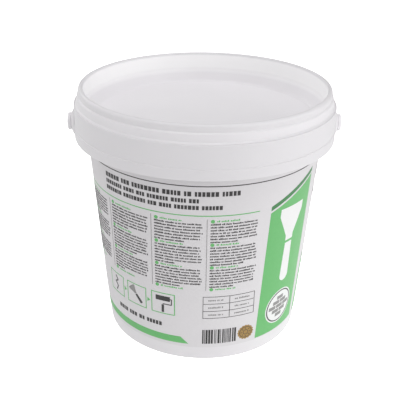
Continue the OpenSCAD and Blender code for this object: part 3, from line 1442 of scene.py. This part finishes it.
@dataclass(frozen=True)
class StepPictures:
    """Framed pictures of a cracked wall, a filling knife and a paint roller. Sizes in millimetres."""

    left: float
    y: float
    side: float = 13.0
    gap: float = 3.0
    line: float = 0.5
    crack_line: float = 0.75
    knife_turn: float = math.radians(40)
    # Of the gap between two frames
    arrow_back_share: float = 0.2
    arrow_tip_share: float = 0.8
    arrow_rise_share: float = 0.45
    # Of half a frame's side
    crack_shares: tuple[Point, ...] = (
        (-0.12, 0.7), (0.18, 0.32), (-0.2, 0.08), (0.14, -0.26), (-0.08, -0.7),
    )
    # Of a frame's side
    knife_share: float = 0.85
    sleeve_share: float = 0.6
    sleeve_h_share: float = 0.22
    sleeve_rise_share: float = 0.24
    wire_share: float = 0.36
    wire_drop_share: float = 0.02
    handle_w_share: float = 0.1
    handle_h_share: float = 0.36
    handle_drop_share: float = 0.24

    def middle(self, index: int) -> float:
        """Middle of a picture across."""
        return self.left + self.side / 2 + index * (self.side + self.gap)

    def draw(self, sheet: Sheet) -> None:
        """Draws the frames, the arrows between them and the pictures.

        Args:
            sheet: the sheet that it is drawn on.
        """
        pictures = (self.draw_crack, self.draw_knife, self.draw_roller)
        for index, draw_picture in enumerate(pictures):
            x = self.middle(index)
            sheet.box(Ink.GREEN, x, self.y, self.side, self.side, self.line)
            if index:
                self.draw_arrow(sheet, x - self.side / 2 - self.gap)
            draw_picture(sheet, x)

    def draw_arrow(self, sheet: Sheet, start: float) -> None:
        """A solid arrow head in the gap after a frame.

        Args:
            sheet: the sheet that it is drawn on.
            start: the frame's right edge.
        """
        back = start + self.gap * self.arrow_back_share
        tip = start + self.gap * self.arrow_tip_share
        rise = self.gap * self.arrow_rise_share
        sheet.outline(Ink.GREEN, [(back, self.y - rise), (tip, self.y), (back, self.y + rise)])

    def draw_crack(self, sheet: Sheet, x: float) -> None:
        """A jagged line down a wall.

        Args:
            sheet: the sheet that it is drawn on.
            x: the picture's middle across.
        """
        half = self.side / 2
        points = [(x + half * across, self.y + half * up) for across, up in self.crack_shares]
        for start, end in zip(points, points[1:]):
            sheet.stroke(Ink.DARK, start, end, self.crack_line)

    def draw_knife(self, sheet: Sheet, x: float) -> None:
        """A filling knife that leans to the left."""
        Knife(self.side * self.knife_share).draw(sheet, Ink.GREY, Ink.DARK, x, self.y, self.knife_turn)

    def draw_roller(self, sheet: Sheet, x: float) -> None:
        """A paint roller with its bent wire and grip.

        Args:
            sheet: the sheet that it is drawn on.
            x: the picture's middle across.
        """
        sleeve_w = self.side * self.sleeve_share
        sleeve_y = self.y + self.side * self.sleeve_rise_share
        wire_x = x + self.side * self.wire_share
        wire_y = self.y - self.side * self.wire_drop_share
        handle_y = self.y - self.side * self.handle_drop_share
        wire = [(x + sleeve_w / 2, sleeve_y), (wire_x, sleeve_y), (wire_x, wire_y), (x, wire_y)]
        sheet.bar(Ink.DARK, x, sleeve_y, sleeve_w, self.side * self.sleeve_h_share)
        for start, end in zip(wire, wire[1:]):
            sheet.stroke(Ink.DARK, start, end, self.line)
        sheet.bar(Ink.DARK, x, handle_y, self.side * self.handle_w_share, self.side * self.handle_h_share)


@dataclass(frozen=True)
class Rosette:
    """A plain gold rosette with a scalloped edge. Sizes in millimetres."""

    x: float
    y: float
    r: float = 4.4
    scallops: int = 16
    scallop_sides: int = 6
    scallop_share: float = 0.05
    line: float = 0.3
    ring_shares: tuple[float, ...] = (0.8, 0.35)
    dots: int = 8
    dot_sides: int = 12
    dot_ring_share: float = 0.56

    def draw(self, sheet: Sheet) -> None:
        """Draws the rosette, two rings and a ring of dots.

        Args:
            sheet: the sheet that it is drawn on.
        """
        sides = self.scallops * self.scallop_sides
        points = []
        for side in range(sides):
            turn = math.tau * side / sides
            reach = self.r * (1 + self.scallop_share * math.cos(self.scallops * turn))
            points.append((self.x + reach * math.cos(turn), self.y + reach * math.sin(turn)))
        sheet.outline(Ink.GOLD, points)
        for share in self.ring_shares:
            sheet.ring(Ink.DARK, self.x, self.y, self.r * share, self.line)
        reach = self.r * self.dot_ring_share
        for dot in range(self.dots):
            turn = math.tau * dot / self.dots
            x = self.x + reach * math.cos(turn)
            y = self.y + reach * math.sin(turn)
            sheet.disc(Ink.DARK, x, y, self.line, self.dot_sides)


@dataclass(frozen=True)
class BarBlock:
    """A block of plain upright bars. Sizes in millimetres."""

    left: float
    right: float
    y: float
    h: float
    widths: tuple[float, ...] = (0.35, 0.35, 0.7, 1.0)
    gaps: tuple[float, ...] = (0.35, 0.35, 0.7)

    def draw(self, sheet: Sheet, dice: random.Random) -> None:
        """Draws bars from left to right.

        Args:
            sheet: the sheet that it is drawn on.
            dice: source of the sizes that vary.
        """
        x = self.left
        while x < self.right:
            width = dice.choice(self.widths)
            sheet.bar(Ink.DARK, x + width / 2, self.y, width, self.h)
            x += width + dice.choice(self.gaps)


@dataclass
class Panel:
    """A part of the print, drawn on a flat sheet and pressed onto the film. Sizes in millimetres."""

    film: Film
    name: str
    middle_deg: float = 0.0
    seed: int = 11

    def build(self) -> list[bpy.types.Object]:
        """Draws the panel and presses it onto the film.

        Returns:
            The pieces of print.
        """
        sheet = Sheet(self.name, self.middle_deg, self.film)
        self.draw(sheet, random.Random(self.seed))
        return sheet.press()

    def draw(self, sheet: Sheet, dice: random.Random) -> None:
        """Draws the panel's shapes."""
        raise NotImplementedError


@dataclass
class DirectionsPanel(Panel):
    """Headings, columns of small print, step pictures and a ruled table. Sizes in millimetres."""

    name: str = "directions"
    left: float = -80.0
    right: float = 26.0
    heading_left: float = -56.0
    heading_y: float = 96.2
    heading_pitch: float = 3.5
    heading_caps: tuple[float, ...] = (2.4, 2.1, 2.1)
    heading_lengths: tuple[float, ...] = (72.0, 54.0, 64.0)
    heading_rule: float = 0.5
    column_count: int = 4
    column_rule: float = 0.25
    print_top: float = 84.2
    print_low: float = 43.5
    picture_y: float = 33.0
    picture_left: float = -60.0
    table_w: float = 27.0
    table_h: float = 13.5
    stamp_left: float = -52.0
    stamp_length: float = 30.0
    stamp_y: float = 18.6
    stamp_cap: float = 2.4
    bars_y: float = 14.5
    bars_w: float = 17.0
    bars_h: float = 9.0
    rosette_inset: float = 4.0

    def draw(self, sheet: Sheet, dice: random.Random) -> None:
        """Draws the panel's shapes.

        Args:
            sheet: the sheet that it is drawn on.
            dice: source of the sizes that vary.
        """
        left = self.left
        right = self.right
        headings = Headings(
            self.heading_left, self.heading_y, self.heading_pitch, self.heading_caps, self.heading_lengths
        )
        headings.draw(sheet, dice)
        rule_y = self.heading_y - len(self.heading_caps) * self.heading_pitch + self.heading_rule / 2
        sheet.bar(Ink.GREEN, (left + right) / 2, rule_y, right - left, self.heading_rule)
        columns = PrintColumns(
            left, right, self.print_top, self.print_low, self.column_count, rule=self.column_rule
        )
        columns.draw(sheet, dice)
        StepPictures(self.picture_left, self.picture_y).draw(sheet)
        Table(right - self.table_w / 2, self.picture_y, self.table_w, self.table_h).draw(sheet, dice)
        stamp_right = self.stamp_left + self.stamp_length
        sheet.row(Ink.DARK, self.stamp_left, stamp_right, self.stamp_y, self.stamp_cap, dice, even=True)
        bars_left = right - self.table_w
        BarBlock(bars_left, bars_left + self.bars_w, self.bars_y, self.bars_h).draw(sheet, dice)
        Rosette(right - self.rosette_inset, self.bars_y).draw(sheet)


@dataclass
class GreenPanel(Panel):
    """A tall green field, a white filling knife and a round badge. Sizes in millimetres."""

    name: str = "side_field"
    middle_deg: float = 47.0
    half_w: float = 15.5
    low: float = 8.2
    left_top: float = 83.0
    right_top: float = 95.0
    knife_y: float = 61.0
    knife_l: float = 44.0
    badge_y: float = 23.0
    badge_r: float = 10.5
    badge_line: float = 0.7
    brick_w: float = 5.0
    brick_h: float = 2.2
    bricks_r: float = 8.4

    def draw(self, sheet: Sheet, dice: random.Random) -> None:
        """Draws the panel's shapes.

        Args:
            sheet: the sheet that it is drawn on.
            dice: not used.
        """
        SlantedField(self.half_w, self.low, self.left_top, self.right_top).draw(sheet)
        Knife(self.knife_l).draw(sheet, Ink.WHITE, Ink.WHITE, 0.0, self.knife_y)
        bricks = Bricks(self.bricks_r, self.brick_w, self.brick_h)
        WallDisc(0.0, self.badge_y, self.badge_r, self.badge_line, bricks).draw(sheet)


@dataclass
class DisplayPanel(Panel):
    """The display side: large headings, a round wall picture and a short list. Sizes in millimetres."""

    name: str = "display"
    middle_deg: float = 119.0
    seed: int = 23
    half_w: float = 47.0
    heading_y: float = 88.5
    heading_pitch: float = 10.0
    heading_caps: tuple[float, ...] = (7.0, 3.6)
    heading_lengths: tuple[float, ...] = (84.0, 58.0)
    field_low: float = 8.2
    field_left: float = 40.0
    field_right: float = 58.0
    picture_x: float = -18.0
    picture_y: float = 44.0
    picture_r: float = 25.0
    picture_line: float = 1.2
    picture_sides: int = 96
    bricks_r: float = 21.4
    knife_l: float = 37.5
    knife_turn: float = math.radians(35)
    list_x: float = 14.0
    list_y: float = 46.0
    list_pitch: float = 8.0
    list_cap: float = 2.4
    list_count: int = 4
    mark_r: float = 1.92
    mark_gap: float = 1.92

    def draw(self, sheet: Sheet, dice: random.Random) -> None:
        """Draws the panel's shapes.

        Args:
            sheet: the sheet that it is drawn on.
            dice: source of the sizes that vary.
        """
        headings = Headings(
            -self.half_w, self.heading_y, self.heading_pitch, self.heading_caps, self.heading_lengths
        )
        headings.draw(sheet, dice)
        SlantedField(self.half_w, self.field_low, self.field_left, self.field_right).draw(sheet)
        x = self.picture_x
        y = self.picture_y
        picture = WallDisc(
            x, y, self.picture_r, self.picture_line, Bricks(self.bricks_r), self.picture_sides
        )
        picture.draw(sheet)
        Knife(self.knife_l).draw(sheet, Ink.DARK, Ink.DARK, x, y, self.knife_turn)
        self.draw_list(sheet, dice)

    def draw_list(self, sheet: Sheet, dice: random.Random) -> None:
        """White discs, each with a short row beside it.

        Args:
            sheet: the sheet that it is drawn on.
            dice: source of the sizes that vary.
        """
        start = self.list_x + self.mark_r + self.mark_gap
        for index in range(self.list_count):
            y = self.list_y - index * self.list_pitch
            sheet.disc(Ink.WHITE, self.list_x, y + self.list_cap / 2, self.mark_r)
            sheet.row(Ink.WHITE, start, self.half_w - self.list_cap, y, self.list_cap, dice, even=True)


@dataclass
class NotesPanel(Panel):
    """The far side: headings, columns of small print, a table and a ringed knife. Sizes in millimetres."""

    name: str = "notes"
    middle_deg: float = -127.0
    seed: int = 37
    half_w: float = 44.0
    heading_y: float = 95.0
    heading_pitch: float = 4.2
    heading_caps: tuple[float, ...] = (2.8, 2.2)
    heading_lengths: tuple[float, ...] = (70.0, 52.0)
    column_count: int = 3
    print_top: float = 84.2
    print_low: float = 37.0
    table_w: float = 36.0
    table_h: float = 15.0
    table_y: float = 24.0
    ring_x: float = -30.0
    ring_r: float = 10.0
    ring_line: float = 0.8
    knife_l: float = 15.0
    knife_turn: float = math.radians(-40)

    def draw(self, sheet: Sheet, dice: random.Random) -> None:
        """Draws the panel's shapes.

        Args:
            sheet: the sheet that it is drawn on.
            dice: source of the sizes that vary.
        """
        w = self.half_w
        y = self.table_y
        headings = Headings(
            -w, self.heading_y, self.heading_pitch, self.heading_caps, self.heading_lengths
        )
        headings.draw(sheet, dice)
        PrintColumns(-w, w, self.print_top, self.print_low, self.column_count).draw(sheet, dice)
        Table(w - self.table_w / 2, y, self.table_w, self.table_h).draw(sheet, dice)
        sheet.ring(Ink.GREEN, self.ring_x, y, self.ring_r, self.ring_line)
        Knife(self.knife_l).draw(sheet, Ink.GREY, Ink.DARK, self.ring_x, y, self.knife_turn)


@dataclass
class Bands(Panel):
    """The thin rule under the film's top edge and the green stripe near its foot. Sizes in millimetres."""

    name: str = "bands"
    rule_y: float = 101.4
    rule: float = 0.45
    stripe_y: float = 11.6
    stripe: float = 4.2
    stripe_left: float = -74.0
    stripe_right: float = -8.0

    def draw(self, sheet: Sheet, dice: random.Random) -> None:
        """Draws both.

        Args:
            sheet: the sheet that it is drawn on.
            dice: not used.
        """
        half = math.pi * self.film.outer_r(self.rule_y) - self.film.seam
        sheet.bar(Ink.DARK, 0.0, self.rule_y, 2 * half, self.rule)
        low = self.stripe_y - self.stripe / 2
        high = self.stripe_y + self.stripe / 2
        sheet.outline(Ink.GREEN, [
            (self.stripe_left, low), (self.stripe_right, low),
            (self.stripe_right - self.stripe, high), (self.stripe_left, high),
        ])


@dataclass(frozen=True)
class SoftBox:
    """A square lamp that faces the tub. Place and side in millimetres, power in watts."""

    name: str
    place: tuple[float, float, float]
    side: float
    power: float

    def build(self, aim: Vector) -> None:
        """Hangs the lamp and turns it towards a point.

        Args:
            aim: the point, in metres.
        """
        data = bpy.data.lights.new(self.name, "AREA")
        data.size = self.side * MM
        data.energy = self.power
        lamp = bpy.data.objects.new(self.name, data)
        bpy.context.scene.collection.objects.link(lamp)
        lamp.location = Vector(self.place) * MM
        lamp.rotation_mode = "QUATERNION"
        lamp.rotation_quaternion = (aim - lamp.location).to_track_quat("-Z", "Y")


@dataclass
class Studio:
    """Camera, floor and soft light. Sizes in millimetres."""

    eye: tuple[float, float, float] = (-9.44, -359.18, 237.16)
    aim: tuple[float, float, float] = (-1.92, 0.04, 66.3)
    roll_deg: float = 0.768
    lens: float = 65.72
    sensor: float = 36.0
    clip_start: float = 10.0
    floor_w: float = 9000.0
    sky: float = 0.4
    shown_sky: float = 1.0
    lamps: tuple[SoftBox, ...] = (
        SoftBox("top_soft", (0.0, -200.0, 1500.0), 1600.0, 9.9),
        SoftBox("right_low", (1300.0, -100.0, 200.0), 800.0, 3.6),
        SoftBox("right_front", (900.0, -900.0, 500.0), 900.0, 5.9),
        SoftBox("left_fill", (-1300.0, -300.0, 500.0), 900.0, 4.3),
        SoftBox("back_left", (-900.0, 900.0, 700.0), 900.0, 2.8),
    )

    def build(self) -> None:
        """Makes the camera, the floor, the sky and the lamps."""
        self.add_camera()
        self.add_floor()
        self.add_sky()
        for lamp in self.lamps:
            lamp.build(Vector(self.aim) * MM)

    def add_camera(self) -> None:
        """Camera at the photograph's viewing angle."""
        data = bpy.data.cameras.new("camera")
        data.lens = self.lens
        data.sensor_width = self.sensor
        camera = bpy.data.objects.new("camera", data)
        bpy.context.scene.collection.objects.link(camera)
        eye = Vector(self.eye) * MM
        look = Vector(self.aim) * MM - eye
        camera.location = eye
        camera.rotation_mode = "QUATERNION"
        roll = Quaternion((0.0, 0.0, 1.0), math.radians(self.roll_deg))
        camera.rotation_quaternion = look.to_track_quat("-Z", "Y") @ roll
        data.clip_start = self.clip_start * MM
        bpy.context.scene.camera = camera

    def add_floor(self) -> None:
        """Plain pale floor under the foot."""
        mesh = bmesh.new()
        bmesh.ops.create_grid(mesh, x_segments=1, y_segments=1, size=self.floor_w / 2 * MM)
        data = bpy.data.meshes.new("floor")
        mesh.to_mesh(data)
        mesh.free()
        data.materials.append(StudioFloor("floor_pale").material())
        floor = bpy.data.objects.new("floor", data)
        bpy.context.scene.collection.objects.link(floor)

    def add_sky(self) -> None:
        """Even white light from all round, softer than the white that is seen behind the floor."""
        world = bpy.data.worlds.new("studio")
        world.use_nodes = True
        tree = world.node_tree
        background = tree.nodes["Background"]
        background.inputs["Color"].default_value = (1.0, 1.0, 1.0, 1.0)
        shown = tree.nodes.new("ShaderNodeLightPath")
        strength = tree.nodes.new("ShaderNodeMapRange")
        strength.inputs["To Min"].default_value = self.sky
        strength.inputs["To Max"].default_value = self.shown_sky
        tree.links.new(shown.outputs["Is Camera Ray"], strength.inputs["Value"])
        tree.links.new(strength.outputs["Result"], background.inputs["Strength"])
        bpy.context.scene.world = world
        bpy.context.scene.view_settings.view_transform = "Standard"


def main() -> None:
    """Builds and dresses every piece in the studio."""
    logging.basicConfig(level=logging.INFO, format="%(name)s: %(message)s")
    Studio().build()
    tub = Tub(NodeBox.of("tub"))
    tub.build()
    Lid(NodeBox.of("lid"), tub).build()
    Paste(NodeBox.of("paste"), tub).build()
    film = Film(NodeBox.of("label"), tub)
    film.build()
    for panel in (Bands, DirectionsPanel, GreenPanel, DisplayPanel, NotesPanel):
        panel(film).build()


if __name__ == "__main__":
    main()
